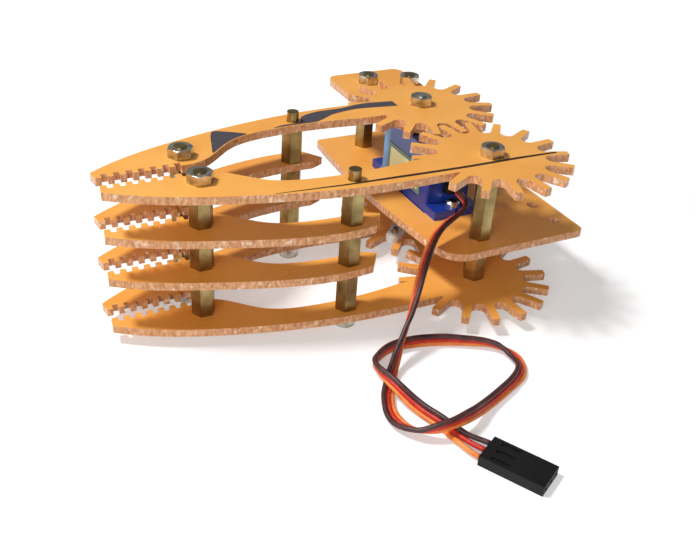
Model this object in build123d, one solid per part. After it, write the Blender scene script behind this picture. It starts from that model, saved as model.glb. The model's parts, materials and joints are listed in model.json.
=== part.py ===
from build123d import *
import math
import os

os.makedirs("parts", exist_ok=True)

# A claw gripper of stacked acrylic plates: two geared jaws, one of them turned by a small servo.
# +X points to the jaw tips and Z = 0 is the surface under the screw heads.
# The origin is midway between the jaw pivots. The near jaw is on +Y, the driven far jaw on -Y.

# Plates and the gaps between them
PLATE_THICKNESS = 2.0
SCREW_HEAD_HEIGHT = 3.0
LOWER_GAP = 11.0
UPPER_GAP = 9.0
PIVOT_STANDOFF_LENGTH = 10.0

# How far a cutting shape runs past the surface that it cuts
CUT_MARGIN = 0.5

# Three-millimetre screws, nuts and hexagonal standoffs
THREAD_RADIUS = 1.5
THREAD_GAP = 0.06
PLATE_HOLE_GAP = 0.1
PIVOT_GAP = 0.08
SCREW_HEAD_RADIUS = 2.75
SCREW_HEAD_CHAMFER = 0.3
SOCKET_ACROSS_FLATS = 2.5
SOCKET_DEPTH = 1.5
NUT_ACROSS_FLATS = 5.5
NUT_HEIGHT = 2.4
NUT_CHAMFER_ANGLE = 30.0
STANDOFF_ACROSS_FLATS = 5.0
STUD_LENGTH = 4.6
TAPPED_DEPTH = 4.0
SCREW_END_GAP = 1.0
COUNTERSINK_RADIUS = 2.9
COUNTERSINK_DEPTH = 1.6
WASHER_THICKNESS = 1.0
WASHER_RADIUS = 3.5

# Jaw gears
GEAR_TEETH = 16
GEAR_MODULE = 2.15
TOOTH_ADDENDUM = 2.8
TOOTH_TIP_WIDTH = 1.8
ROOT_CIRCLE_RADIUS = 1.8
ROOT_CLEARANCE = 1.1
NEAR_GEAR_PHASE = 6.83

# Jaw plates, seen from above on the near side
JAW_TIP_X = 92.5
JAW_TIP_OUTER_Y = 5.0
TIP_POST_X = 71.0
TIP_POST_Y = 6.9
MIDDLE_POST_X = 37.9
MIDDLE_POST_Y = 17.6
SHOULDER_SETBACK = 10.3
SHOULDER_Y = 10.8
TIP_POST_OUTER_EDGE = 8.0
TIP_POST_INNER_EDGE = 4.3
MIDDLE_POST_OUTER_EDGE = 4.3
MIDDLE_POST_INNER_EDGE = 3.4
THROAT_SETBACK = 3.4
INNER_CURVE_SETBACK = 14.0
INNER_CURVE_STEP = 3.2
INNER_STRAIGHT_LENGTH = 8.0
GEAR_NECK_OUTER_Y = 22.6
GEAR_NECK_INNER_Y = 13.4
SERRATION_LENGTH = 19.6
SERRATION_COUNT = 7
SERRATION_DEPTH = 1.6
GRIP_HALF_GAP = 1.9
HEEL_LENGTH = 8.3
HEEL_DROP = 1.2
HEEL_START = 4.8
HEEL_SHOULDER = 0.5
TIP_BLUNT = 0.5
GRIP_END_FLAT = 1.0
ARM_OVERLAP = 5.0

# Base plate
BASE_REAR_X = -28.8
BASE_NEAR_Y = 24.1
BASE_FAR_Y = -51.0
BASE_NECK_X = 12.3
BASE_WAIST_X = 16.0
BASE_WAIST_Y = -28.0
BASE_FAR_FRONT_X = 14.6
BASE_FRONT_ROUNDING = 7.0
BASE_REAR_ROUNDING = 1.6
MOUNT_HOLE_X = -24.0
MOUNT_HOLE_Y = 12.4
MOUNT_HOLE_SPACING = 9.1
MOUNT_HOLE_RADIUS = 1.6

# Upper plate and its two posts
UPPER_FAR_Y = -51.3
UPPER_FRONT_X = 12.0
UPPER_REAR_X = -12.4
UPPER_BOSS_RADIUS = 8.6
UPPER_ROUNDING = 3.0
POST_A_X = 2.2
POST_A_Y = -43.5
POST_B_X = -9.4
POST_B_Y = -39.4

# Servo
SERVO_LENGTH = 24.8
SERVO_WIDTH = 13.6
SERVO_BELOW_EARS = 4.4
SERVO_TOP_GAP = 0.4
SERVO_COVER_HEIGHT = 2.9
SERVO_LID_HEIGHT = 4.4
SERVO_SHAFT_INSET = 6.6
SERVO_ROUNDING = 0.8
EAR_REACH = 5.1
EAR_THICKNESS = 2.4
EAR_HOLE_OFFSET = 2.7
SERVO_CUTOUT_GAP = 0.3
BOSS_RADIUS = 5.8
BOSS_HEIGHT = 4.0
SMALL_BOSS_RADIUS = 2.6
SMALL_BOSS_OFFSET = 8.7
LID_SCREW_INSET = 1.9
LID_SCREW_RADIUS = 1.1
LID_SCREW_SINK = 1.0
LABEL_LENGTH = 17.4
LABEL_HEIGHT = 8.4
LABEL_ABOVE_EARS = 1.0
LABEL_THICKNESS = 0.15

# Servo shaft, its horn and small screws
SHAFT_RADIUS = 2.3
SPLINE_COUNT = 20
SPLINE_DEPTH = 0.18
SHAFT_REACH_IN_CASE = 5.0
HORN_TO_BOSS_GAP = 0.4
HORN_HUB_RADIUS = 3.5
HORN_ARM_THICKNESS = 1.6
HORN_ARM_REACH = 15.0
HORN_ARM_ROOT_WIDTH = 5.6
HORN_ARM_TIP_WIDTH = 3.8
HORN_FLOOR = 1.4
HORN_ANGLE = 43.0
HORN_HOLE_RADIUS = 0.5
HORN_HOLE_FIRST = 6.6
HORN_HOLE_STEP = 2.2
HORN_HOLE_COUNT = 4
SMALL_SCREW_RADIUS = 1.0
SMALL_SCREW_HEAD_RADIUS = 1.9
SMALL_SCREW_HEAD_HEIGHT = 1.3
SMALL_SCREW_CHAMFER = 0.5
SMALL_NUT_ACROSS_FLATS = 4.0
SMALL_NUT_HEIGHT = 1.6
CENTRE_SCREW_LENGTH = 6.0
HORN_SCREW_RADIUS = 0.45

# Servo lead and its connector
LEAD_DIAMETER = 2.4
LEAD_EXIT_X = -0.5
LEAD_EXIT_ABOVE_EARS = 4.1
LEAD_STRAIGHT = 5.0
RELIEF_LENGTH = 2.4
RELIEF_TAPER = 12.0
RELIEF_ROUNDING = 1.0
RELIEF_WIDTH = 5.0
RELIEF_HEIGHT = 3.4
CONNECTOR_LENGTH = 14.6
CONNECTOR_WIDTH = 7.5
CONNECTOR_HEIGHT = 2.5
CONTACT_SLOT_WIDTH = 1.0
CONTACT_SLOT_LENGTH = 4.2
CONTACT_SLOT_DEPTH = 0.35
CONTACT_SLOT_X = 4.4
CONTACT_PITCH = 2.54
CONTACT_HOLE = 0.9
CONTACT_HOLE_DEPTH = 6.0

# Worked-out levels and places
BOTTOM_LEVEL = SCREW_HEAD_HEIGHT
LOWER_MIDDLE_LEVEL = BOTTOM_LEVEL + PLATE_THICKNESS + LOWER_GAP
UPPER_MIDDLE_LEVEL = LOWER_MIDDLE_LEVEL + PLATE_THICKNESS + UPPER_GAP
TOP_LEVEL = UPPER_MIDDLE_LEVEL + PLATE_THICKNESS + UPPER_GAP
BASE_LEVEL = BOTTOM_LEVEL + PLATE_THICKNESS + PIVOT_STANDOFF_LENGTH
UPPER_PLATE_LEVEL = TOP_LEVEL - WASHER_THICKNESS - PLATE_THICKNESS
BASE_TOP = BASE_LEVEL + PLATE_THICKNESS
POST_LENGTH = UPPER_PLATE_LEVEL - BASE_TOP
SCREW_SHANK = PLATE_THICKNESS + TAPPED_DEPTH - SCREW_END_GAP
PITCH_RADIUS = GEAR_MODULE * GEAR_TEETH / 2
GEAR_TIP_RADIUS = PITCH_RADIUS + TOOTH_ADDENDUM
GEAR_ROOT_RADIUS = PITCH_RADIUS - TOOTH_ADDENDUM - ROOT_CLEARANCE
TOOTH_ANGLE = 360 / GEAR_TEETH
FAR_GEAR_PHASE = -NEAR_GEAR_PHASE + TOOTH_ANGLE / 2
PIVOT_Y = PITCH_RADIUS
PLATE_HOLE_RADIUS = THREAD_RADIUS + PLATE_HOLE_GAP
PIVOT_HOLE_RADIUS = THREAD_RADIUS + PIVOT_GAP
TAPPED_RADIUS = THREAD_RADIUS + THREAD_GAP
MIDDLE_X = 0
EAR_SPAN = SERVO_LENGTH + 2 * EAR_REACH
EAR_HOLE_SPACING = SERVO_LENGTH + 2 * EAR_HOLE_OFFSET
SERVO_FAR_Y = -PIVOT_Y - SERVO_SHAFT_INSET
SERVO_MIDDLE_Y = SERVO_FAR_Y + SERVO_LENGTH / 2
SERVO_NEAR_Y = SERVO_FAR_Y + SERVO_LENGTH
SERVO_FACE = BASE_TOP - SERVO_BELOW_EARS
SERVO_BACK = UPPER_PLATE_LEVEL - SERVO_TOP_GAP
BOSS_FACE = SERVO_FACE - BOSS_HEIGHT
COVER_SPLIT = SERVO_FACE + SERVO_COVER_HEIGHT
LID_SPLIT = SERVO_BACK - SERVO_LID_HEIGHT
EAR_TOP = BASE_TOP + EAR_THICKNESS
GEAR_TOP = BOTTOM_LEVEL + PLATE_THICKNESS
HORN_TOP = BOSS_FACE - HORN_TO_BOSS_GAP
HORN_SEAT = GEAR_TOP + HORN_FLOOR
CENTRE_SCREW_END = BOTTOM_LEVEL + CENTRE_SCREW_LENGTH
LEAD_EXIT_Z = EAR_TOP + LEAD_EXIT_ABOVE_EARS
LEAD_RADIUS = LEAD_DIAMETER / 2
LEAD_START_Y = SERVO_NEAR_Y + RELIEF_LENGTH
NEAR_PIVOT = (MIDDLE_X, PIVOT_Y)
FAR_PIVOT = (MIDDLE_X, -PIVOT_Y)
POSTS = ((POST_A_X, POST_A_Y), (POST_B_X, POST_B_Y))

# Route of the servo lead, from the case down to the surface and round one loose loop
LEAD_ROUTE = (
    (LEAD_EXIT_X, LEAD_START_Y, LEAD_EXIT_Z),
    (LEAD_EXIT_X, LEAD_START_Y + LEAD_STRAIGHT, LEAD_EXIT_Z),
    (2.6, 13.2, 23.3),
    (8.4, 15.6, 22.8),
    (14.4, 18.4, 21.4),
    (19.4, 23.0, 18.6),
    (24.0, 28.0, 14.4),
    (28.0, 32.4, 10.0),
    (31.9, 35.6, 6.2),
    (35.5, 39.2, 3.0),
    (39.1, 43.5, LEAD_RADIUS),
    (43.4, 49.6, LEAD_RADIUS),
    (45.0, 55.8, LEAD_RADIUS),
    (42.8, 61.4, 1.8),
    (37.6, 64.4, 4.1),
    (30.6, 63.4, 4.1),
    (23.8, 59.8, 1.6),
    (15.0, 56.2, LEAD_RADIUS),
    (8.4, 52.6, LEAD_RADIUS),
    (6.3, 46.8, LEAD_RADIUS),
    (8.6, 41.0, LEAD_RADIUS),
    (14.2, 38.0, LEAD_RADIUS),
    (20.4, 35.0, LEAD_RADIUS),
    (27.0, 33.2, LEAD_RADIUS),
    (33.4, 32.8, LEAD_RADIUS),
    (38.8, 35.6, 1.8),
    (41.9, 41.0, 4.2),
    (40.8, 47.8, 4.2),
    (38.4, 54.6, 1.6),
    (35.8, 61.2, LEAD_RADIUS),
    (34.2, 66.8, LEAD_RADIUS),
    (31.6, 71.4, LEAD_RADIUS),
)


def write(name, *solids):
    """Write one node from its separate solids."""
    node = solids[0] if len(solids) == 1 else Compound(children=list(solids))
    export_step(node, f"parts/{name}.step")


def place(point, level):
    """A location above a plan point."""
    return Pos(point[0], point[1], level)


def disc(point, radius):
    return Pos(*point) * Circle(radius)


def plate(plan, level, thickness=PLATE_THICKNESS):
    """Cut a flat plan out of sheet, with its underside at a level."""
    return Pos(0, 0, level) * extrude(plan, amount=thickness, dir=(0, 0, 1))


def rod(point, bottom, top, radius):
    return place(point, bottom) * extrude(Circle(radius), amount=top - bottom)


def hexagon(across_flats):
    return RegularPolygon(across_flats / 2, 6, major_radius=False)


def fillet_plan_corners(plan, points, radius):
    """Round the plan's corners that lie at the given points."""
    for point in points:
        corner = plan.vertices().sort_by_distance((point[0], point[1], 0))[0]
        plan = fillet(corner, radius)
    return plan


# Fasteners
def nut(point, bottom, across_flats=NUT_ACROSS_FLATS, height=NUT_HEIGHT, bore=TAPPED_RADIUS):
    """A hexagonal nut with its two corner chamfers."""
    flat = across_flats / 2
    outside = across_flats / math.sqrt(3) + CUT_MARGIN
    drop = (outside - flat) * math.tan(math.radians(NUT_CHAMFER_ANGLE))
    section = Polyline(
        (bore, 0), (flat, 0), (outside, drop),
        (outside, height - drop), (flat, height), (bore, height), close=True,
    )
    ring = revolve(Plane.XZ * make_face(section), Axis.Z)
    return place(point, bottom) * (extrude(hexagon(across_flats), amount=height) & ring)


def standoff(point, bottom, length, tapped_below=True):
    """A hexagonal standoff with a stud on top and a tapped hole beneath."""
    body = extrude(hexagon(STANDOFF_ACROSS_FLATS), amount=length)
    body += Pos(0, 0, length) * extrude(Circle(THREAD_RADIUS), amount=STUD_LENGTH)
    if tapped_below:
        body -= extrude(Circle(TAPPED_RADIUS), amount=TAPPED_DEPTH)
    return place(point, bottom) * body


def cap_screw(point, seat, shank):
    """A socket-head screw pushed up from beneath, with its head under the seat."""
    head = Pos(0, 0, -SCREW_HEAD_HEIGHT) * extrude(Circle(SCREW_HEAD_RADIUS), amount=SCREW_HEAD_HEIGHT)
    head = chamfer(head.edges().sort_by(Axis.Z)[0], SCREW_HEAD_CHAMFER)
    head -= Pos(0, 0, -SCREW_HEAD_HEIGHT) * extrude(hexagon(SOCKET_ACROSS_FLATS), amount=SOCKET_DEPTH)
    return place(point, seat) * (head + extrude(Circle(THREAD_RADIUS), amount=shank))


def small_screw(point, seat, shank, radius=SMALL_SCREW_RADIUS, head_radius=SMALL_SCREW_HEAD_RADIUS):
    """A small screw driven downwards onto its seat."""
    head = extrude(Circle(head_radius), amount=SMALL_SCREW_HEAD_HEIGHT)
    head = chamfer(head.edges().sort_by(Axis.Z)[-1], SMALL_SCREW_CHAMFER)
    return place(point, seat) * (head + extrude(Circle(radius), amount=-shank))


# Jaws
def gear_plan(point, phase):
    """A disc with a straight-sided, round-rooted gap cut between each pair of teeth."""
    slot_centre = GEAR_ROOT_RADIUS + ROOT_CIRCLE_RADIUS
    mouth = math.pi * GEAR_TIP_RADIUS / GEAR_TEETH - TOOTH_TIP_WIDTH / 2
    slope = (mouth - ROOT_CIRCLE_RADIUS) / (GEAR_TIP_RADIUS - slot_centre)
    outside = GEAR_TIP_RADIUS + TOOTH_ADDENDUM
    outside_half = ROOT_CIRCLE_RADIUS + slope * (outside - slot_centre)
    sides = Polygon(
        (slot_centre, -ROOT_CIRCLE_RADIUS), (outside, -outside_half),
        (outside, outside_half), (slot_centre, ROOT_CIRCLE_RADIUS), align=None,
    )
    slot = sides + Pos(slot_centre, 0) * Circle(ROOT_CIRCLE_RADIUS)
    blank = Circle(GEAR_TIP_RADIUS)
    for gap in range(GEAR_TEETH):
        blank -= Rot(0, 0, phase + TOOTH_ANGLE * (gap + 0.5)) * slot
    return Pos(*point) * blank


def serration():
    """Corner points of the gripping edge, from the tip back to its last tooth."""
    pitch = SERRATION_LENGTH / SERRATION_COUNT
    crest = GRIP_HALF_GAP
    root = GRIP_HALF_GAP + SERRATION_DEPTH
    points = []
    for tooth in range(SERRATION_COUNT):
        front = JAW_TIP_X - TIP_BLUNT - tooth * pitch
        points += [(front, crest), (front - pitch / 2, crest)]
        points += [(front - pitch / 2, root), (front - pitch, root)]
    return points


def jaw_edges(rear_edges):
    """The near jaw's outline, forward of the gear or of the heel."""
    teeth = serration()
    outer_rear, inner_rear, rear = rear_edges
    outer = Spline(
        (JAW_TIP_X, JAW_TIP_OUTER_Y),
        (JAW_TIP_X - SHOULDER_SETBACK, SHOULDER_Y),
        (TIP_POST_X, TIP_POST_Y + TIP_POST_OUTER_EDGE),
        (MIDDLE_POST_X, MIDDLE_POST_Y + MIDDLE_POST_OUTER_EDGE),
        outer_rear,
    )
    inner = Spline(
        (teeth[-1][0] - GRIP_END_FLAT, GRIP_HALF_GAP),
        (TIP_POST_X - THROAT_SETBACK, TIP_POST_Y - TIP_POST_INNER_EDGE),
        (TIP_POST_X - INNER_CURVE_SETBACK, MIDDLE_POST_Y - MIDDLE_POST_INNER_EDGE - INNER_CURVE_STEP),
        (MIDDLE_POST_X + INNER_STRAIGHT_LENGTH, MIDDLE_POST_Y - MIDDLE_POST_INNER_EDGE),
        inner_rear,
    )
    front = Polyline((JAW_TIP_X, JAW_TIP_OUTER_Y), *teeth, (teeth[-1][0], GRIP_HALF_GAP), inner @ 0)
    back = Polyline(outer @ 1, *rear, inner @ 1)
    return Curve() + [outer, front, inner, back]


def geared_jaw_plan():
    """Near jaw plate that carries a gear, without its gear."""
    outer = (GEAR_TIP_RADIUS, GEAR_NECK_OUTER_Y)
    inner = (GEAR_TIP_RADIUS, GEAR_NECK_INNER_Y)
    root = GEAR_ROOT_RADIUS - ARM_OVERLAP
    return make_face(jaw_edges((outer, inner, [(root, GEAR_NECK_OUTER_Y), (root, GEAR_NECK_INNER_Y)])))


def middle_jaw_plan():
    """Near jaw plate that stops in a pointed heel behind the middle post."""
    heel_x = MIDDLE_POST_X - HEEL_LENGTH
    outer = (MIDDLE_POST_X - HEEL_START, MIDDLE_POST_Y + MIDDLE_POST_OUTER_EDGE - HEEL_SHOULDER)
    inner = (MIDDLE_POST_X - HEEL_START, MIDDLE_POST_Y - MIDDLE_POST_INNER_EDGE + HEEL_SHOULDER)
    return make_face(jaw_edges((outer, inner, [(heel_x, MIDDLE_POST_Y - HEEL_DROP)])))


def jaw_side(plan, near):
    return plan if near else mirror(plan, about=Plane.XZ)


def jaw_posts(near):
    side = 1 if near else -1
    return (TIP_POST_X, side * TIP_POST_Y), (MIDDLE_POST_X, side * MIDDLE_POST_Y)


def jaw_plate(level, near, geared):
    """One jaw plate with its post holes, and its gear and pivot hole where it has them."""
    tip, middle = jaw_posts(near)
    plan = jaw_side(geared_jaw_plan() if geared else middle_jaw_plan(), near)
    if geared:
        pivot = NEAR_PIVOT if near else FAR_PIVOT
        plan = plan + gear_plan(pivot, NEAR_GEAR_PHASE if near else FAR_GEAR_PHASE)
        plan -= disc(pivot, PIVOT_HOLE_RADIUS)
    plan -= disc(tip, PLATE_HOLE_RADIUS)
    plan -= disc(middle, PLATE_HOLE_RADIUS)
    return plate(plan, level)


def horn_point(distance):
    """A point on the horn's arm, in plan."""
    angle = math.radians(HORN_ANGLE)
    return (MIDDLE_X + distance * math.cos(angle), -PIVOT_Y + distance * math.sin(angle))


def horn_screw_points():
    last = HORN_HOLE_FIRST + HORN_HOLE_STEP * (HORN_HOLE_COUNT - 1)
    return horn_point(last), horn_point(-last)


def far_bottom_plate():
    """The driven gear plate, with holes for the horn's screws."""
    body = jaw_plate(BOTTOM_LEVEL, False, True)
    for point in horn_screw_points():
        body -= rod(point, BOTTOM_LEVEL - CUT_MARGIN, GEAR_TOP + CUT_MARGIN, HORN_SCREW_RADIUS + PIVOT_GAP)
    return body


def post_stack(point):
    """Three standoffs screwed into each other through the four jaw plates."""
    return (
        standoff(point, BOTTOM_LEVEL + PLATE_THICKNESS, LOWER_GAP),
        standoff(point, LOWER_MIDDLE_LEVEL + PLATE_THICKNESS, UPPER_GAP),
        standoff(point, UPPER_MIDDLE_LEVEL + PLATE_THICKNESS, UPPER_GAP),
    )


def jaw(name, near):
    """All the pieces of one jaw but its bottom plate."""
    tip, middle = jaw_posts(near)
    write(f"{name}_jaw_lower_middle_plate", jaw_plate(LOWER_MIDDLE_LEVEL, near, False))
    write(f"{name}_jaw_upper_middle_plate", jaw_plate(UPPER_MIDDLE_LEVEL, near, False))
    write(f"{name}_jaw_top_plate", jaw_plate(TOP_LEVEL, near, True))
    write(f"{name}_jaw_tip_standoffs", *post_stack(tip))
    write(f"{name}_jaw_middle_standoffs", *post_stack(middle))
    write(f"{name}_jaw_tip_nut", nut(tip, TOP_LEVEL + PLATE_THICKNESS))
    write(f"{name}_jaw_screws", *[cap_screw(post, BOTTOM_LEVEL, SCREW_SHANK) for post in (tip, middle)])


# Frame
def base_plan():
    """Outline of the plate that holds the servo and the near pivot."""
    front = Spline(
        (BASE_FAR_FRONT_X, BASE_FAR_Y),
        (BASE_WAIST_X, BASE_WAIST_Y),
        (BASE_NECK_X, BASE_NEAR_Y),
    )
    rest = Polyline(
        (BASE_NECK_X, BASE_NEAR_Y), (BASE_REAR_X, BASE_NEAR_Y), (BASE_REAR_X, BASE_FAR_Y),
        (BASE_FAR_FRONT_X, BASE_FAR_Y),
    )
    plan = make_face(Curve() + [front, rest])
    plan = fillet_plan_corners(plan, [(BASE_NECK_X, BASE_NEAR_Y)], BASE_FRONT_ROUNDING)
    corners = [(BASE_REAR_X, BASE_NEAR_Y), (BASE_REAR_X, BASE_FAR_Y), (BASE_FAR_FRONT_X, BASE_FAR_Y)]
    return fillet_plan_corners(plan, corners, BASE_REAR_ROUNDING)


def ear_points():
    offset = EAR_HOLE_SPACING / 2
    return (MIDDLE_X, SERVO_MIDDLE_Y - offset), (MIDDLE_X, SERVO_MIDDLE_Y + offset)


def mount_points():
    return [(MOUNT_HOLE_X, MOUNT_HOLE_Y + side * MOUNT_HOLE_SPACING / 2) for side in (-1, 1)]


def base_plate():
    """The base plate with its servo window and holes."""
    window = Rectangle(SERVO_WIDTH + 2 * SERVO_CUTOUT_GAP, SERVO_LENGTH + 2 * SERVO_CUTOUT_GAP)
    plan = base_plan() - Pos(MIDDLE_X, SERVO_MIDDLE_Y) * window
    plan -= disc(NEAR_PIVOT, PLATE_HOLE_RADIUS)
    for point in POSTS:
        plan -= disc(point, PLATE_HOLE_RADIUS)
    for point in ear_points():
        plan -= disc(point, SMALL_SCREW_RADIUS + PLATE_HOLE_GAP)
    for point in mount_points():
        plan -= disc(point, MOUNT_HOLE_RADIUS)
    return plate(plan, BASE_LEVEL)


def upper_plate():
    """The short plate over the servo that carries the driven jaw's upper pivot."""
    block = Polygon(
        (UPPER_REAR_X, UPPER_FAR_Y), (UPPER_FRONT_X, UPPER_FAR_Y),
        (UPPER_FRONT_X, POST_A_Y + UPPER_BOSS_RADIUS), (UPPER_BOSS_RADIUS, -PIVOT_Y),
        (-UPPER_BOSS_RADIUS, -PIVOT_Y), (UPPER_REAR_X, POST_B_Y + UPPER_ROUNDING), align=None,
    )
    corners = [(UPPER_REAR_X, UPPER_FAR_Y), (UPPER_FRONT_X, UPPER_FAR_Y)]
    block = fillet_plan_corners(block, corners, UPPER_ROUNDING)
    plan = block + disc(FAR_PIVOT, UPPER_BOSS_RADIUS) - disc(FAR_PIVOT, PLATE_HOLE_RADIUS)
    for point in POSTS:
        plan -= disc(point, PLATE_HOLE_RADIUS)
    body = plate(plan, UPPER_PLATE_LEVEL)
    return body - countersink(PLATE_HOLE_GAP)


def countersink(gap):
    """The far pivot screw's conical head, wider by a gap."""
    cone = Cone(
        COUNTERSINK_RADIUS + gap, THREAD_RADIUS + gap, COUNTERSINK_DEPTH,
        align=(Align.CENTER, Align.CENTER, Align.MIN),
    )
    return place(FAR_PIVOT, UPPER_PLATE_LEVEL) * cone


def far_pivot_screw():
    return countersink(0) + rod(FAR_PIVOT, UPPER_PLATE_LEVEL, TOP_LEVEL + STUD_LENGTH, THREAD_RADIUS)


def far_pivot_washer():
    """The washer that the driven jaw's top plate turns on."""
    bottom = UPPER_PLATE_LEVEL + PLATE_THICKNESS
    ring = rod(FAR_PIVOT, bottom, TOP_LEVEL, WASHER_RADIUS)
    return ring - rod(FAR_PIVOT, bottom - CUT_MARGIN, TOP_LEVEL + CUT_MARGIN, PIVOT_HOLE_RADIUS)


def frame():
    """Base, upper plate, their posts and the two pivots."""
    write("base_plate", base_plate())
    write("upper_plate", upper_plate())
    write("support_posts", *[standoff(point, BASE_TOP, POST_LENGTH) for point in POSTS])
    write("support_post_nuts", *[nut(point, UPPER_PLATE_LEVEL + PLATE_THICKNESS) for point in POSTS])
    write("support_post_screws", *[cap_screw(point, BASE_LEVEL, SCREW_SHANK) for point in POSTS])
    write("near_pivot_screw", cap_screw(NEAR_PIVOT, BOTTOM_LEVEL, SCREW_SHANK))
    write("near_pivot_short_standoff", standoff(NEAR_PIVOT, GEAR_TOP, PIVOT_STANDOFF_LENGTH))
    write("near_pivot_long_standoff", standoff(NEAR_PIVOT, BASE_TOP, TOP_LEVEL - BASE_TOP))
    write("near_pivot_nut", nut(NEAR_PIVOT, TOP_LEVEL + PLATE_THICKNESS))
    write("far_pivot_screw", far_pivot_screw())
    write("far_pivot_washer", far_pivot_washer())
    write("far_pivot_nut", nut(FAR_PIVOT, TOP_LEVEL + PLATE_THICKNESS))


# Servo
def servo_block(bottom, top):
    """A stretch of the servo's case with its upright edges rounded."""
    plan = fillet(Rectangle(SERVO_WIDTH, SERVO_LENGTH).vertices(), SERVO_ROUNDING)
    return plate(Pos(MIDDLE_X, SERVO_MIDDLE_Y) * plan, bottom, top - bottom)


def shaft_bore(gap=PIVOT_GAP):
    return rod(FAR_PIVOT, BOSS_FACE - CUT_MARGIN, BOSS_FACE + SHAFT_REACH_IN_CASE + gap, SHAFT_RADIUS + gap)


def servo_gear_cover():
    """The cover on the shaft's side, with its round boss and small lobe."""
    lobe = (MIDDLE_X, -PIVOT_Y + SMALL_BOSS_OFFSET)
    body = servo_block(SERVO_FACE, COVER_SPLIT)
    body += rod(FAR_PIVOT, BOSS_FACE, SERVO_FACE, BOSS_RADIUS)
    body += rod(lobe, BOSS_FACE, SERVO_FACE, SMALL_BOSS_RADIUS)
    return body - shaft_bore()


def servo_case():
    """The middle of the case with the two mounting ears."""
    ears = Pos(MIDDLE_X, SERVO_MIDDLE_Y) * Rectangle(SERVO_WIDTH, EAR_SPAN)
    for point in ear_points():
        ears -= disc(point, SMALL_SCREW_RADIUS + PLATE_HOLE_GAP)
        slot_y = point[1] + math.copysign(EAR_SPAN, point[1] - SERVO_MIDDLE_Y) / 2
        ears -= Pos(point[0], slot_y) * Rectangle(SMALL_SCREW_RADIUS, EAR_SPAN)
    body = servo_block(COVER_SPLIT, LID_SPLIT) + plate(ears, BASE_TOP, EAR_THICKNESS)
    return body - shaft_bore()


def lid_screw_points():
    x = SERVO_WIDTH / 2 - LID_SCREW_INSET
    y = SERVO_LENGTH / 2 - LID_SCREW_INSET
    return [(MIDDLE_X + i * x, SERVO_MIDDLE_Y + j * y) for i in (-1, 1) for j in (-1, 1)]


def servo_back_cover():
    """The lid on the wire side, with its four sunk screw holes."""
    body = servo_block(LID_SPLIT, SERVO_BACK)
    for point in lid_screw_points():
        body -= rod(point, SERVO_BACK - LID_SCREW_SINK - LID_SCREW_RADIUS, SERVO_BACK, LID_SCREW_RADIUS)
    return body


def servo_lid_screws():
    seat = SERVO_BACK - LID_SCREW_SINK - LID_SCREW_RADIUS
    radius = LID_SCREW_RADIUS - PIVOT_GAP
    return [rod(point, seat, seat + LID_SCREW_RADIUS, radius) for point in lid_screw_points()]


def servo_label():
    """The paper label on the case's front face."""
    block = Box(LABEL_THICKNESS, LABEL_LENGTH, LABEL_HEIGHT, align=(Align.MIN, Align.CENTER, Align.MIN))
    return Pos(MIDDLE_X + SERVO_WIDTH / 2, SERVO_MIDDLE_Y, EAR_TOP + LABEL_ABOVE_EARS) * block


def output_shaft():
    """The splined output shaft, with a pilot hole for the centre screw."""
    body = rod(FAR_PIVOT, HORN_SEAT, BOSS_FACE + SHAFT_REACH_IN_CASE, SHAFT_RADIUS)
    for tooth in range(SPLINE_COUNT):
        angle = 2 * math.pi * tooth / SPLINE_COUNT
        groove = (SHAFT_RADIUS * math.cos(angle), -PIVOT_Y + SHAFT_RADIUS * math.sin(angle))
        body -= rod(groove, HORN_SEAT - CUT_MARGIN, BOSS_FACE, SPLINE_DEPTH)
    pilot = SMALL_SCREW_RADIUS + THREAD_GAP
    return body - rod(FAR_PIVOT, HORN_SEAT - CUT_MARGIN, CENTRE_SCREW_END + CUT_MARGIN, pilot)


def servo_horn():
    """The two-armed horn that lies on the driven gear."""
    root, tip = HORN_ARM_ROOT_WIDTH / 2, HORN_ARM_TIP_WIDTH / 2
    plan = Polygon((0, -root), (HORN_ARM_REACH, -tip), (HORN_ARM_REACH, tip), (0, root), align=None)
    plan += Pos(HORN_ARM_REACH, 0) * Circle(tip)
    for hole in range(HORN_HOLE_COUNT):
        plan -= Pos(HORN_HOLE_FIRST + hole * HORN_HOLE_STEP, 0) * Circle(HORN_HOLE_RADIUS)
    plan = plan + Rot(0, 0, 180) * plan + Circle(HORN_HUB_RADIUS)
    body = plate(Pos(*FAR_PIVOT) * Rot(0, 0, HORN_ANGLE) * plan, GEAR_TOP, HORN_ARM_THICKNESS)
    body += rod(FAR_PIVOT, GEAR_TOP, HORN_TOP, HORN_HUB_RADIUS)
    body -= rod(FAR_PIVOT, HORN_SEAT, HORN_TOP + CUT_MARGIN, SHAFT_RADIUS + THREAD_GAP)
    bore = SMALL_SCREW_RADIUS + THREAD_GAP
    return body - rod(FAR_PIVOT, GEAR_TOP - CUT_MARGIN, HORN_SEAT + CUT_MARGIN, bore)


def centre_screw():
    """The screw under the driven gear that pulls it and the horn onto the shaft."""
    head = cap_screw(FAR_PIVOT, BOTTOM_LEVEL, PLATE_THICKNESS)
    return head + rod(FAR_PIVOT, GEAR_TOP, CENTRE_SCREW_END, SMALL_SCREW_RADIUS)


def horn_screws():
    """Two small screws that hold the horn's arms down on the gear."""
    seat = GEAR_TOP + HORN_ARM_THICKNESS
    shank = HORN_ARM_THICKNESS + PLATE_THICKNESS
    return [small_screw(p, seat, shank, HORN_SCREW_RADIUS, HORN_HOLE_STEP / 2) for p in horn_screw_points()]


def strain_relief():
    """The grommet where the lead leaves the case."""
    plan = RectangleRounded(RELIEF_WIDTH, RELIEF_HEIGHT, RELIEF_ROUNDING)
    face = Plane((LEAD_EXIT_X, SERVO_NEAR_Y, LEAD_EXIT_Z), x_dir=(1, 0, 0), z_dir=(0, 1, 0)) * plan
    return extrude(face, amount=RELIEF_LENGTH, dir=(0, 1, 0), taper=RELIEF_TAPER)


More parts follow.
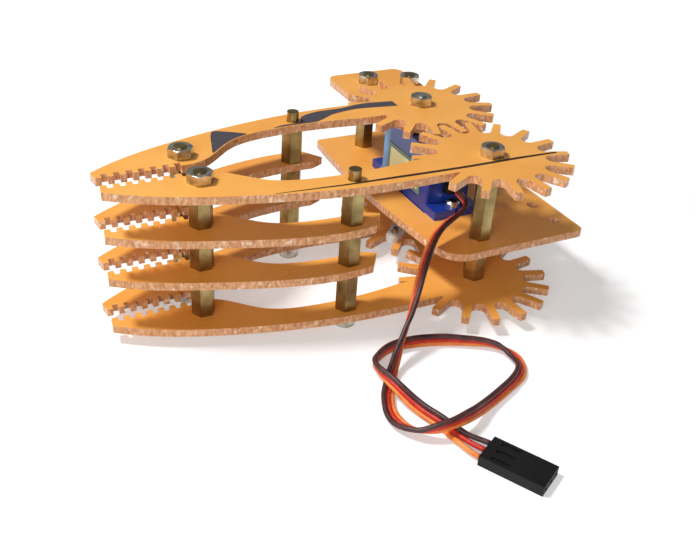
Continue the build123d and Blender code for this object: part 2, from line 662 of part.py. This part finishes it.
def servo():
    """The servo, its screws, shaft and horn."""
    write("servo_gear_cover", servo_gear_cover())
    write("servo_case", servo_case())
    write("servo_back_cover", servo_back_cover())
    write("servo_cover_screws", *servo_lid_screws())
    write("servo_label", servo_label())
    shank = EAR_THICKNESS + PLATE_THICKNESS + SMALL_NUT_HEIGHT
    write("servo_mounting_screws", *[small_screw(point, EAR_TOP, shank) for point in ear_points()])
    bore = SMALL_SCREW_RADIUS + THREAD_GAP
    low = BASE_LEVEL - SMALL_NUT_HEIGHT
    nuts = [nut(point, low, SMALL_NUT_ACROSS_FLATS, SMALL_NUT_HEIGHT, bore) for point in ear_points()]
    write("servo_mounting_nuts", *nuts)
    write("servo_output_shaft", output_shaft())
    write("servo_horn", servo_horn())
    write("servo_horn_screws", *horn_screws())
    write("servo_centre_screw", centre_screw())
    write("servo_lead_grommet", strain_relief())


# Lead and connector
def lead_radii(points):
    """The largest arc that each corner's two runs allow."""
    radii = []
    for before, corner, after in zip(points, points[1:], points[2:]):
        run_in = Vector(*corner) - Vector(*before)
        run_out = Vector(*after) - Vector(*corner)
        half_turn = math.radians(run_in.get_angle(run_out) / 2)
        radii.append(0.45 * min(run_in.length, run_out.length) / math.tan(half_turn))
    return radii


def servo_lead():
    """The three-wire lead as one round tube of the same area."""
    radii = lead_radii(LEAD_ROUTE)
    path = FilletPolyline(*LEAD_ROUTE, radius=radii)
    start = Plane(path @ 0, z_dir=path % 0)
    tube = sweep(start * Circle(LEAD_RADIUS), path=path)
    print("lead radii", [round(radius, 1) for radius in radii])
    print("lead length", round(path.length, 1))
    return tube


def connector():
    """The three-way plug at the end of the lead, lying on the surface."""
    end, before = Vector(*LEAD_ROUTE[-1]), Vector(*LEAD_ROUTE[-2])
    along = Vector(end.X - before.X, end.Y - before.Y, 0)
    seat = Plane((end.X, end.Y, 0), x_dir=along, z_dir=(0, 0, 1))
    corner = (Align.MIN, Align.CENTER, Align.MIN)
    body = Box(CONNECTOR_LENGTH, CONNECTOR_WIDTH, CONNECTOR_HEIGHT, align=corner)
    for way in (-1, 0, 1):
        slot = Box(CONTACT_SLOT_LENGTH, CONTACT_SLOT_WIDTH, 2 * CONTACT_SLOT_DEPTH)
        body -= Pos(CONTACT_SLOT_X, way * CONTACT_PITCH, CONNECTOR_HEIGHT) * slot
        hole = Box(2 * CONTACT_HOLE_DEPTH, CONTACT_HOLE, CONTACT_HOLE)
        body -= Pos(CONNECTOR_LENGTH, way * CONTACT_PITCH, CONNECTOR_HEIGHT / 2) * hole
    return seat * body


jaw("near", True)
jaw("far", False)
write("near_jaw_bottom_plate", jaw_plate(BOTTOM_LEVEL, True, True))
write("far_jaw_bottom_plate", far_bottom_plate())
frame()
servo()
write("servo_lead", servo_lead())
write("lead_connector", connector())
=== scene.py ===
import json
import math

import bmesh
import bpy
from mathutils import Matrix, Vector


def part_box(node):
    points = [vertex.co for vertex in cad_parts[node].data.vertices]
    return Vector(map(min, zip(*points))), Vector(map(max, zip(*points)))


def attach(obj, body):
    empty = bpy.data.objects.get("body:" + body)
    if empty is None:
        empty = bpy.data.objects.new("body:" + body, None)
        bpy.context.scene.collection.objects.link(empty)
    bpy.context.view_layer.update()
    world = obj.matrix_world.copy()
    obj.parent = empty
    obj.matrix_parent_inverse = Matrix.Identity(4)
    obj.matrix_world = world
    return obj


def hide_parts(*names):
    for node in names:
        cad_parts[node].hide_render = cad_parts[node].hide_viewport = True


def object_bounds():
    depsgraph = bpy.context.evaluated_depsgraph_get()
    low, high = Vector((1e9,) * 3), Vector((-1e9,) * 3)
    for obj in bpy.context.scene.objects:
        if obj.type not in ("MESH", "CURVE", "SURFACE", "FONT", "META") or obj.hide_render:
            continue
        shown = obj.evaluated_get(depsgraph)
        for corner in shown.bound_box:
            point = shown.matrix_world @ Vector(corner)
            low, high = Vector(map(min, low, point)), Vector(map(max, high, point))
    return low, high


# A claw gripper of orange acrylic on brass standoffs, with its servo and three-wire lead.
# Sizes are in metres unless a name says otherwise, and colours are scene-linear.
MM = 0.001

CAMERA_AT = Vector((0.12852, 0.18198, 0.13292))
CAMERA_RIGHT = Vector((-0.89416, 0.44376, 0.05962))
CAMERA_UP = Vector((-0.18976, -0.49619, 0.84722))
CAMERA_LENS_MM = 47.40
SENSOR_WIDTH_MM = 36.0
CAMERA_SHIFT = (0.0063, 0.0009)
CAMERA_CLIP_START = 0.01

# Each lamp is a disk: its place, what it points at, its diameter and its power in watts.
LAMPS = (
    ("key", (0.36, -0.14, 0.64), (0.03, 0.0, 0.0), 0.14, 4.7),
    ("fill", (0.42, 0.42, 0.22), (0.03, 0.0, 0.02), 0.34, 1.7),
)
SKY_ON_THE_OBJECT = 0.20
SKY_SEEN = 1.0

FLOOR_REACH = 3.0
FLOOR_GREY = 0.72
# What the floor adds to its own white where it is seen: near the object, and beyond it.
FLOOR_GLOW = (0.37, 1.0)
FLOOR_GLOW_DISTANCES = (0.10, 0.28)

# The lead's points in millimetres, each with the roll of its flat side in degrees.
# Roll 0 lays the brown wire on the right of the direction of travel, and 90 stacks it on top.
LEAD_ROUTE = (
    (-0.5, 3.4, 23.5, 47),
    (-0.5, 8.4, 23.5, 65),
    (2.6, 13.2, 23.3, 122),
    (8.4, 15.6, 22.8, 139),
    (14.4, 18.4, 21.4, 137),
    (19.4, 23.0, 18.6, 131),
    (24.0, 28.0, 14.4, 124),
    (28.0, 32.4, 10.0, 112),
    (31.9, 35.6, 6.2, 94),
    (35.5, 39.2, 3.0, 68),
    (39.1, 43.5, 1.64, 50),
    (43.4, 49.6, 1.38, 33),
    (45.0, 55.8, 1.2, 10),
    (42.8, 61.4, 1.8, 39),
    (37.6, 64.4, 4.1, 80),
    (30.6, 63.4, 4.1, 97),
    (23.8, 59.8, 1.88, 102),
    (15.0, 56.2, 1.87, 107),
    (8.4, 52.6, 1.58, 135),
    (6.3, 46.8, 1.2, 157),
    (8.6, 41.0, 1.68, 127),
    (14.2, 38.0, 1.87, 107),
    (20.4, 35.0, 1.92, 95),
    (27.0, 33.2, 1.92, 93),
    (33.4, 32.8, 1.91, 99),
    (38.8, 35.6, 1.87, 99),
    (41.9, 41.0, 4.2, 69),
    (40.8, 47.8, 4.2, 95),
    (38.4, 54.6, 1.85, 107),
    (35.8, 61.2, 1.84, 111),
    (34.2, 66.8, 1.2, 180),
    (31.6, 71.4, 1.25, 180),
)
WIRE_RADIUS = 0.00062
WIRE_PITCH = 0.00118
PLUG_PITCH = 0.00254
FAN_LENGTH = 0.009
WIRE_SIDES = 10
ROUTE_STEPS = 10

PRINT_THICKNESS = 0.00005
PRINT_STEPS = 4
# The bands' stations, as (x, y of the far side, y of the near side) in millimetres.
NEAR_BAND = (
    (57.5, 18.1, 18.3), (52.0, 18.45, 18.8), (46.0, 18.85, 19.35), (42.0, 19.15, 19.75), (38.0, 19.3, 20.0),
    (33.5, 19.4, 20.2), (27.0, 19.6, 20.55), (20.5, 19.9, 20.85), (13.8, 20.15, 21.1), (6.9, 20.3, 21.25),
    (-3.3, 20.3, 21.3), (-9.2, 20.5, 21.4), (-16.6, 20.9, 21.6),
)
FAR_BAND = (
    (44.2, -14.95, -14.75), (42.0, -15.7, -14.85), (39.6, -15.9, -15.0), (37.4, -15.9, -15.0),
    (36.0, -16.9, -15.0), (35.0, -18.9, -14.95), (33.5, -19.9, -14.95), (32.0, -20.5, -15.1),
    (30.0, -21.0, -16.0), (28.0, -21.2, -17.2), (26.0, -21.2, -18.2), (22.0, -21.3, -19.1),
    (18.0, -22.1, -19.5), (15.0, -22.4, -19.2), (12.0, -22.2, -18.8), (8.0, -21.6, -18.2), (6.6, -21.3, -18.2),
)
FAR_PATCH = (
    (63.4, -6.6, -5.8), (62.2, -10.6, -6.9), (60.8, -15.2, -8.2), (59.4, -17.7, -9.5), (57.0, -16.9, -11.3),
    (54.7, -15.6, -12.5), (52.0, -13.9, -13.5),
)

LABEL_BORDER = 0.0011
# How far the housing's painted glow reaches in from the back cover's outer face, and where it has faded out.
PAINTED_GLOW_DEPTH = 0.0026
PAINTED_GLOW_FADED = 0.0042
PAINTED_GLOW_MARGIN = 0.0003

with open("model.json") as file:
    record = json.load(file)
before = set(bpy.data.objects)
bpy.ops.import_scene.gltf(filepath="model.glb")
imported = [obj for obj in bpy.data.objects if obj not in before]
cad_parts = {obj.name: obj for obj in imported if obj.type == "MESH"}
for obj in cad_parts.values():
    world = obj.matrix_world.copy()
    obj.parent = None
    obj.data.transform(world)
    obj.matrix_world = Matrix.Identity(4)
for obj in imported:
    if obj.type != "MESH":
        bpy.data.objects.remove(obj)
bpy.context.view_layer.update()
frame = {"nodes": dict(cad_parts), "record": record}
nodes = frame["nodes"]


class Shader:
    """A principled material built node by node."""

    def __init__(self, name, **settings):
        self.material = bpy.data.materials.new(name)
        self.material.use_nodes = True
        self.tree = self.material.node_tree
        self.bsdf = self.tree.nodes["Principled BSDF"]
        for socket, value in settings.items():
            self.bsdf.inputs[socket.replace("_", " ")].default_value = value

    def node(self, kind, inputs=(), **settings):
        made = self.tree.nodes.new("ShaderNode" + kind)
        for key, value in settings.items():
            setattr(made, key, value)
        for socket, value in dict(inputs).items():
            self.feed(made.inputs[socket], value)
        return made

    def feed(self, socket, value):
        if isinstance(value, bpy.types.NodeSocket):
            self.tree.links.new(value, socket)
        else:
            socket.default_value = value

    def place(self):
        """Coordinates in metres that stay with the piece."""
        return self.node("TexCoord").outputs["Object"]

    def stretched(self, scale, turn=0.0):
        mapping = self.node("Mapping", {"Vector": self.place(), "Scale": scale, "Rotation": (0, 0, turn)})
        return mapping.outputs["Vector"]

    def noise(self, vector, scale, detail=2.0, roughness=0.5):
        inputs = {"Vector": vector, "Scale": scale, "Detail": detail, "Roughness": roughness}
        return self.node("TexNoise", inputs).outputs["Fac"]

    def ramp(self, value, *stops):
        """Grey or colour stops as (position, colour)."""
        made = self.node("ValToRGB", {"Fac": value})
        elements = made.color_ramp.elements
        while len(elements) < len(stops):
            elements.new(0.5)
        for element, (position, colour) in zip(elements, stops):
            element.position = position
            element.color = (*colour, 1) if isinstance(colour, tuple) else (colour, colour, colour, 1)
        return made.outputs["Color"]

    def calculate(self, operation, *values):
        made = self.node("Math", operation=operation)
        for socket, value in zip(made.inputs, values):
            self.feed(socket, value)
        return made.outputs["Value"]

    def split(self, vector):
        """A vector's X, Y and Z outputs."""
        return self.node("SeparateXYZ", {"Vector": vector}).outputs

    def span(self, value, low, high, to_low, to_high):
        """A value carried from one range to another, and held at its ends."""
        inputs = {"Value": value, "From Min": low, "From Max": high, "To Min": to_low, "To Max": to_high}
        return self.node("MapRange", inputs).outputs["Result"]

    def mix(self, factor, first, second):
        made = self.node("Mix", data_type="RGBA")
        self.feed(made.inputs[0], factor)
        self.feed(made.inputs[6], (*first, 1) if isinstance(first, tuple) else first)
        self.feed(made.inputs[7], (*second, 1) if isinstance(second, tuple) else second)
        return made.outputs[2]

    def flow_marks(self):
        """The slow clouds that moulding leaves in a plastic."""
        return self.noise(self.stretched((120, 60, 160)), 1, 3)

    def colour(self, value):
        self.feed(self.bsdf.inputs["Base Color"], value)

    def rough(self, value, low, high):
        self.feed(self.bsdf.inputs["Roughness"], self.span(value, 0.0, 1.0, low, high))

    def bump(self, value, depth, strength=1.0):
        inputs = {"Height": value, "Distance": depth, "Strength": strength}
        made = self.node("Bump", inputs)
        self.feed(self.bsdf.inputs["Normal"], made.outputs["Normal"])


def acrylic():
    """Fluorescent orange sheet: glossy faces, and pale laser-cut edges with fine upright streaks and spots of
    painted highlight.
    """
    shader = Shader("orange_acrylic", IOR=1.49, Specular_IOR_Level=0.45)
    normal = shader.node("NewGeometry").outputs["Normal"]
    level = shader.calculate("ABSOLUTE", shader.split(normal)["Z"])
    is_face = shader.ramp(level, (0.45, 0.0), (0.6, 1.0))

    place = shader.place()
    cloud = shader.noise(place, 55, 3)
    face = shader.ramp(cloud, (0.3, (0.79, 0.335, 0.058)), (0.7, (0.88, 0.42, 0.092)))
    dust = shader.ramp(shader.noise(place, 2600, 1), (0.70, 0.0), (0.78, 1.0))
    face = shader.mix(shader.calculate("MULTIPLY", dust, 0.35), face, (0.95, 0.62, 0.30))

    streaks = shader.noise(shader.stretched((1500, 1500, 620)), 1, 3, 0.6)
    # Painted highlight: small spots on the cut edges are lightened towards a pale glint colour, standing in
    # for light caught in the clear edge.
    painted_glint_spots = shader.noise(place, 620, 2)
    dark, middle, pale = (0.44, 0.17, 0.060), (0.66, 0.31, 0.130), (0.84, 0.48, 0.26)
    edge = shader.ramp(streaks, (0.30, dark), (0.50, middle), (0.70, pale))
    painted_glint = shader.ramp(painted_glint_spots, (0.60, 0.0), (0.70, 1.0))
    edge = shader.mix(shader.calculate("MULTIPLY", painted_glint, 0.6), edge, (0.96, 0.80, 0.64))
    shader.colour(shader.mix(is_face, edge, face))

    scuffs = shader.noise(shader.stretched((90, 1900, 90), 0.5), 1, 3)
    shader.rough(scuffs, 0.16, 0.34)
    relief = shader.mix(is_face, streaks, shader.calculate("MULTIPLY", scuffs, 0.12))
    shader.bump(relief, 0.00006, 0.8)
    return shader.material


def brass():
    """Turned and milled brass: warm, a little dull, with fine marks along the bar, and random patches of
    painted light and painted shade.
    """
    # The light tone is a lit facet's colour and the dark tone a shaded facet's colour. They are painted light
    # and shade, mixed in random patches, and they also darken the turning marks.
    dark, light = (0.19, 0.135, 0.050), (0.50, 0.39, 0.17)
    shader = Shader("brass_standoffs", Metallic=1.0)
    marks = shader.noise(shader.stretched((700, 700, 60)), 1, 3, 0.6)
    lit_and_shaded_patches = shader.noise(shader.place(), 220, 3)
    body = shader.ramp(lit_and_shaded_patches, (0.30, dark), (0.68, light))
    shader.colour(shader.mix(shader.calculate("MULTIPLY", marks, 0.25), body, dark))
    shader.rough(marks, 0.22, 0.44)
    shader.bump(marks, 0.00002, 0.5)
    return shader.material


def nickel():
    """Plated steel with faint rings of turning and cloudy plating."""
    dark, light = (0.34, 0.31, 0.25), (0.80, 0.77, 0.68)
    shader = Shader("bright_nickel", Metallic=1.0)
    cloud = shader.noise(shader.place(), 420, 3)
    rings = shader.noise(shader.stretched((200, 200, 2600)), 1, 2)
    shader.colour(shader.ramp(cloud, (0.32, dark), (0.66, light)))
    shader.rough(cloud, 0.18, 0.40)
    shader.bump(rings, 0.00002, 0.6)
    return shader.material


def moulded(name, dark, light, roughness=(0.30, 0.46), **settings):
    """Injection-moulded plastic with a fine spark-eroded grain and slight flow marks."""
    shader = Shader(name, **settings)
    shader.colour(shader.ramp(shader.flow_marks(), (0.30, dark), (0.70, light)))
    texture = shader.noise(shader.place(), 3200, 2)
    shader.rough(texture, *roughness)
    shader.bump(texture, 0.00003, 0.6)
    return shader.material


def servo_housing():
    """Clear blue plastic, with a glow painted on the lit end of its long walls, where light would come
    through.
    """
    low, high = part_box("servo_back_cover")
    shader = Shader("servo_blue_housing", Specular_IOR_Level=0.6)
    body = shader.ramp(shader.flow_marks(), (0.30, (0.006, 0.022, 0.20)), (0.70, (0.016, 0.060, 0.38)))
    normal = shader.node("NewGeometry").outputs["Normal"]
    wall = shader.calculate("ABSOLUTE", shader.split(normal)["X"])
    inset = shader.calculate("SUBTRACT", shader.split(shader.place())["Y"], low.y)
    end = shader.span(inset, PAINTED_GLOW_DEPTH, PAINTED_GLOW_FADED, 1.0, 0.0)
    # Painted light: the long side walls are paled near the back cover's end. This glow stands in for light
    # shining through the clear wall.
    painted_glow = shader.calculate("MULTIPLY", end, shader.ramp(wall, (0.6, 0.0), (0.8, 1.0)))
    painted_glow = shader.calculate("MULTIPLY", painted_glow, shader.calculate("GREATER_THAN", inset, -PAINTED_GLOW_MARGIN))
    shader.colour(shader.mix(painted_glow, body, (0.085, 0.27, 0.50)))
    texture = shader.noise(shader.place(), 2600, 2)
    shader.rough(texture, 0.12, 0.26)
    shader.bump(texture, 0.00002, 0.5)
    return shader.material


def label_paper():
    """A pale yellow sticker with a plain grey-green border, set from the label's own size."""
    low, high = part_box("servo_label")
    middle = (low + high) / 2
    half = (high - low) / 2
    shader = Shader("servo_label_paper", Specular_IOR_Level=0.35)
    place = shader.split(shader.place())
    edges = []
    for axis, name in ((1, "Y"), (2, "Z")):
        away = shader.calculate("ABSOLUTE", shader.calculate("SUBTRACT", place[name], middle[axis]))
        edges.append(shader.calculate("SUBTRACT", half[axis], away))
    inset = shader.calculate("MINIMUM", *edges)
    border = shader.calculate("LESS_THAN", inset, LABEL_BORDER)
    fibres = shader.noise(shader.place(), 1900, 3)
    paper = shader.ramp(fibres, (0.35, (0.88, 0.90, 0.42)), (0.65, (0.95, 0.97, 0.56)))
    shader.colour(shader.mix(border, paper, (0.17, 0.27, 0.20)))
    shader.rough(fibres, 0.35, 0.55)
    shader.bump(fibres, 0.00001, 0.4)
    return shader.material


def insulation(name, dark, light):
    """Soft wire insulation, slightly cloudy and a little uneven."""
    shader = Shader(name, Specular_IOR_Level=0.4)
    cloud = shader.noise(shader.place(), 380, 3)
    shader.colour(shader.ramp(cloud, (0.32, dark), (0.68, light)))
    shader.rough(shader.noise(shader.place(), 1500, 2), 0.34, 0.55)
    shader.bump(cloud, 0.00004, 0.5)
    return shader.material


def ink(name, dark, light):
    """Screen-printed ink, thin and slightly mottled."""
    shader = Shader(name, Specular_IOR_Level=0.3)
    mottle = shader.noise(shader.place(), 900, 4, 0.7)
    shader.colour(shader.ramp(mottle, (0.35, dark), (0.70, light)))
    shader.rough(mottle, 0.40, 0.62)
    shader.bump(mottle, 0.00001, 0.5)
    return shader.material


def dress_nodes():
    """Give every carried-over solid its finish."""
    finishes = {
        "orange_acrylic": acrylic(),
        "brass_standoff": brass(),
        "nickel_screw": nickel(),
        "servo_blue": servo_housing(),
        "label_paper": label_paper(),
        "horn_white": moulded("horn_nylon", (0.74, 0.74, 0.71), (0.86, 0.86, 0.84)),
        "shaft_white": moulded("shaft_nylon", (0.66, 0.65, 0.58), (0.80, 0.79, 0.73)),
        "connector_black": moulded(
            "connector_plastic", (0.004, 0.004, 0.005), (0.009, 0.009, 0.010),
            roughness=(0.42, 0.60), Specular_IOR_Level=0.25,
        ),
        "lead_rubber": insulation("lead_tube", (0.2, 0.05, 0.02), (0.3, 0.08, 0.03)),
    }
    for part in frame["record"]["subparts"]:
        piece = nodes[part["node"]]
        piece.data.materials.clear()
        piece.data.materials.append(finishes[part["material_slot"]])


def linked(name, data):
    """A new object in the scene."""
    made = bpy.data.objects.new(name, data)
    bpy.context.scene.collection.objects.link(made)
    return made


def mesh_object(name, builder, *materials):
    """Turn a bmesh into an object with its materials."""
    mesh = bpy.data.meshes.new(name)
    builder.to_mesh(mesh)
    builder.free()
    for material in materials:
        mesh.materials.append(material)
    return linked(name, mesh)


def join_rings(builder, rings, material_index=0, smooth=False):
    """Faces between the rings, and a cap at each end."""
    for ring, after in zip(rings, rings[1:]):
        for side in range(len(ring)):
            beside = (side + 1) % len(ring)
            face = builder.faces.new((ring[side], ring[beside], after[beside], after[side]))
            face.smooth = smooth
            face.material_index = material_index
    for ring in (rings[0], rings[-1]):
        builder.faces.new(ring).material_index = material_index


def finished(builder, name, body, slot, *materials):
    """Turn a bmesh into a named piece that rides on a body."""
    bmesh.ops.recalc_face_normals(builder, faces=builder.faces)
    piece = mesh_object(name, builder, *materials)
    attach(piece, body)
    return piece


def lead_centreline():
    """The route as one smooth spline, and the points that Blender gives along it."""
    curve = bpy.data.curves.new("lead_route", "CURVE")
    curve.dimensions = "3D"
    spline = curve.splines.new("NURBS")
    spline.points.add(len(LEAD_ROUTE) - 1)
    for point, (x, y, z, _roll) in zip(spline.points, LEAD_ROUTE):
        point.co = (x * MM, y * MM, z * MM, 1)
    spline.order_u = 3
    spline.use_endpoint_u = True
    spline.resolution_u = ROUTE_STEPS
    route = linked("lead_route", curve)
    bpy.context.view_layer.update()
    evaluated = route.evaluated_get(bpy.context.evaluated_depsgraph_get())
    line = bpy.data.meshes.new_from_object(evaluated)
    points = [vertex.co.copy() for vertex in line.vertices]
    bpy.data.objects.remove(route)
    return points


def eased(value):
    """A step from 0 to 1 with soft ends."""
    value = min(max(value, 0.0), 1.0)
    return value * value * (3 - 2 * value)


def roll_at(share):
    """The lead's roll at a share of the route, in radians. Each span of the spline is centred on a point."""
    place = share * (len(LEAD_ROUTE) - 2) + 0.5
    first = min(int(place), len(LEAD_ROUTE) - 2)
    blend = eased(place - first)
    return math.radians(LEAD_ROUTE[first][3] * (1 - blend) + LEAD_ROUTE[first + 1][3] * blend)


def build_lead():
    """Three fused wires that follow the route, and part where they enter the plug."""
    line = lead_centreline()
    wires = (
        insulation("wire_brown", (0.040, 0.012, 0.013), (0.085, 0.028, 0.028)),
        insulation("wire_red", (0.46, 0.016, 0.008), (0.64, 0.038, 0.018)),
        insulation("wire_orange", (0.78, 0.17, 0.03), (0.90, 0.29, 0.06)),
    )
    travelled = [0.0]
    for before, after in zip(line, line[1:]):
        travelled.append(travelled[-1] + (after - before).length)
    total = travelled[-1]
    builder = bmesh.new()
    for index in range(len(wires)):
        rings = []
        for step, centre in enumerate(line):
            ahead = line[min(step + 1, len(line) - 1)] - line[max(step - 1, 0)]
            ahead.normalize()
            aside = ahead.cross(Vector((0, 0, 1))).normalized()
            over = aside.cross(ahead)
            roll = roll_at(step / (len(line) - 1))
            across = aside * math.cos(roll) + over * math.sin(roll)
            through = across.cross(ahead)
            fan = eased((travelled[step] - total + FAN_LENGTH) / FAN_LENGTH)
            pitch = WIRE_PITCH + (PLUG_PITCH - WIRE_PITCH) * fan
            middle = centre + across * pitch * (1 - index)
            ring = []
            for side in range(WIRE_SIDES):
                turn = 2 * math.pi * side / WIRE_SIDES
                offset = across * math.cos(turn) + through * math.sin(turn)
                ring.append(builder.verts.new(middle + offset * WIRE_RADIUS))
            rings.append(ring)
        join_rings(builder, rings, index, smooth=True)
    lead = finished(builder, "servo_lead_wires", "base", "lead_rubber", *wires)
    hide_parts("servo_lead")


def catmull(stations, index, share):
    """A point on the smooth curve through the stations."""
    last = len(stations) - 1
    picked = [stations[min(max(index + step, 0), last)] for step in (-1, 0, 1, 2)]
    result = []
    for a, b, c, d in zip(*picked):
        cubic = -a + 3 * b - 3 * c + d
        square = 2 * a - 5 * b + 4 * c - d
        result.append(0.5 * (2 * b + (c - a) * share + square * share**2 + cubic * share**3))
    return tuple(result)


def printed_band(name, stations, plate, body, material):
    """A thin film of ink, half sunk in a plate's upper face and drawn through its stations."""
    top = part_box(plate)[1].z
    dense = []
    for index in range(len(stations) - 1):
        for step in range(PRINT_STEPS):
            dense.append(catmull(stations, index, step / PRINT_STEPS))
    dense.append(stations[-1])
    builder = bmesh.new()
    rings = []
    for x, far_y, near_y in dense:
        ring = []
        for y, side in ((far_y, -1), (near_y, -1), (near_y, 1), (far_y, 1)):
            height = top + side * PRINT_THICKNESS / 2
            ring.append(builder.verts.new((x * MM, y * MM, height)))
        rings.append(ring)
    join_rings(builder, rings)
    finished(builder, name, body, "connector_black", material)


def build_prints():
    black = ink("print_black", (0.012, 0.008, 0.006), (0.035, 0.022, 0.016))
    slate = ink("print_slate", (0.045, 0.042, 0.055), (0.085, 0.075, 0.090))
    printed_band("near_plate_line", NEAR_BAND, "near_jaw_top_plate", "near_jaw", black)
    printed_band("far_plate_band", FAR_BAND, "far_jaw_top_plate", "far_jaw", slate)
    printed_band("far_plate_patch", FAR_PATCH, "far_jaw_top_plate", "far_jaw", slate)


def build_stage():
    """A white floor that keeps a soft shadow, under plain studio light."""
    builder = bmesh.new()
    bmesh.ops.create_grid(builder, x_segments=1, y_segments=1, size=FLOOR_REACH)
    shader = Shader("floor_white", Roughness=0.9, Specular_IOR_Level=0.0)
    shader.bsdf.inputs["Base Color"].default_value = (FLOOR_GREY, FLOOR_GREY, FLOOR_GREY, 1)
    path = shader.node("LightPath").outputs
    seen = shader.calculate("MAXIMUM", path["Is Camera Ray"], path["Is Glossy Ray"])
    seen = shader.calculate("MAXIMUM", seen, path["Is Transmission Ray"])
    shader.bsdf.inputs["Emission Color"].default_value = (1, 1, 1, 1)
    position = shader.node("NewGeometry").outputs["Position"]
    distance = shader.node("VectorMath", {0: position}, operation="LENGTH").outputs["Value"]
    whiteness = shader.span(distance, *FLOOR_GLOW_DISTANCES, *FLOOR_GLOW)
    shader.feed(shader.bsdf.inputs["Emission Strength"], shader.calculate("MULTIPLY", seen, whiteness))
    floor = mesh_object("floor", builder, shader.material)
    floor.location.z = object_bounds()[0][2]


def area_lamp(name, place, target, size, power):
    lamp = bpy.data.lights.new(name, "AREA")
    lamp.shape = "DISK"
    lamp.size = size
    lamp.energy = power
    made = linked(name, lamp)
    made.location = place
    made.rotation_euler = (Vector(target) - Vector(place)).to_track_quat("-Z", "Y").to_euler()


def build_light():
    """Two lamps under a white sky that is dimmer on the object than to the camera."""
    world = bpy.data.worlds.new("studio")
    bpy.context.scene.world = world
    world.use_nodes = True
    tree = world.node_tree
    background = tree.nodes["Background"]
    path = tree.nodes.new("ShaderNodeLightPath")
    strength = tree.nodes.new("ShaderNodeMapRange")
    strength.inputs["To Min"].default_value = SKY_ON_THE_OBJECT
    strength.inputs["To Max"].default_value = SKY_SEEN
    tree.links.new(path.outputs["Is Camera Ray"], strength.inputs["Value"])
    tree.links.new(strength.outputs["Result"], background.inputs["Strength"])
    background.inputs["Color"].default_value = (1, 1, 1, 1)
    for lamp in LAMPS:
        area_lamp(*lamp)


def build_camera():
    """A camera turned by its own right and up directions."""
    camera = bpy.data.cameras.new("camera")
    camera.sensor_width = SENSOR_WIDTH_MM
    camera.lens = CAMERA_LENS_MM
    camera.shift_x, camera.shift_y = CAMERA_SHIFT
    camera.clip_start = CAMERA_CLIP_START
    made = linked("camera", camera)
    back = CAMERA_RIGHT.cross(CAMERA_UP)
    rotation = Matrix((CAMERA_RIGHT, CAMERA_UP, back)).transposed().to_4x4()
    made.matrix_world = Matrix.Translation(CAMERA_AT) @ rotation
    bpy.context.scene.camera = made


build_camera()
dress_nodes()
build_lead()
build_prints()
build_stage()
build_light()
bpy.context.scene.view_settings.view_transform = "Standard"
